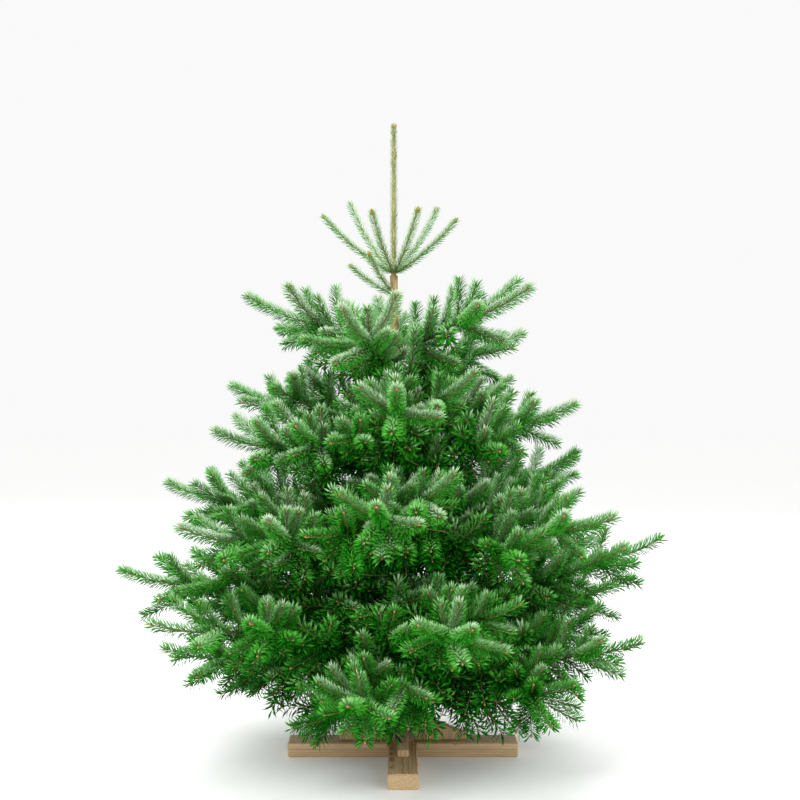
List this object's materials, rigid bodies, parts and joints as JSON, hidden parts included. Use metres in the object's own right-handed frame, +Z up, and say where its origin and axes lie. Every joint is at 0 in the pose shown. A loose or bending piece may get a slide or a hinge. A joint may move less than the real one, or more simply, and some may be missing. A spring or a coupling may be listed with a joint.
{
  "type": "christmas tree",
  "caption": "Undecorated cut fir: a slender trunk with a long leader, tiered boughs carrying flat sprays of needles, set in a plain wooden cross stand.",
  "frame": {"origin": "middle of the stand's flat underside, which stands on the floor, below the foot of the trunk", "axes": "+Z up along the trunk to its tip; -Y is the front, the side that the picture shows; +X is the tree's right side as seen from the front"},
  "size_m": [1.3203, 1.202, 1.5363],
  "materials": {
    "bark": "rough brown bark, paler and olive towards the leader",
    "needles": "semi-gloss green needles, pale blue-green beneath",
    "stand_wood": "planed pale softwood"
  },
  "bodies": {
    "root": {"bough_tier4_1": "bark", "bough_tier4_2": "bark", "bough_tier4_3": "bark", "bough_tier4_4": "bark", "bough_tier4_5": "bark", "bough_tier4_6": "bark", "bough_tier5_1": "bark", "bough_tier5_2": "bark", "bough_tier5_3": "bark", "bough_tier5_4": "bark", "bough_tier5_5": "bark", "bough_tier5_6": "bark", "bough_tier6_1": "bark", "bough_tier6_2": "bark", "bough_tier6_3": "bark", "bough_tier6_4": "bark", "bough_tier6_5": "bark", "foliage_tier1_1": "needles", "foliage_tier1_2": "needles", "foliage_tier1_3": "needles", "foliage_tier1_4": "needles", "foliage_tier1_5": "needles", "foliage_tier1_6": "needles", "foliage_tier1_lower_1": "needles", "foliage_tier1_lower_2": "needles", "foliage_tier2_1": "needles", "foliage_tier2_2": "needles", "foliage_tier2_3": "needles", "foliage_tier2_4": "needles", "foliage_tier2_5": "needles", "foliage_tier3_1": "needles", "foliage_tier3_2": "needles", "foliage_tier3_3": "needles", "foliage_tier3_4": "needles", "foliage_tier3_5": "needles", "foliage_tier3_6": "needles", "foliage_tier4_1": "needles", "foliage_tier4_2": "needles", "foliage_tier4_3": "needles", "foliage_tier4_4": "needles", "foliage_tier4_5": "needles", "foliage_tier4_6": "needles", "foliage_tier5_1": "needles", "foliage_tier5_2": "needles", "foliage_tier5_3": "needles", "foliage_tier5_4": "needles", "foliage_tier5_5": "needles", "foliage_tier5_6": "needles", "foliage_tier6_1": "needles", "foliage_tier6_2": "needles", "foliage_tier6_3": "needles", "foliage_tier6_4": "needles", "foliage_tier6_5": "needles", "stand_brace_1": "stand_wood", "stand_brace_2": "stand_wood", "stand_brace_3": "stand_wood", "stand_brace_4": "stand_wood", "stand_timber_lower": "stand_wood", "stand_timber_upper": "stand_wood", "trunk": "bark"}
  },
  "joints": []
}
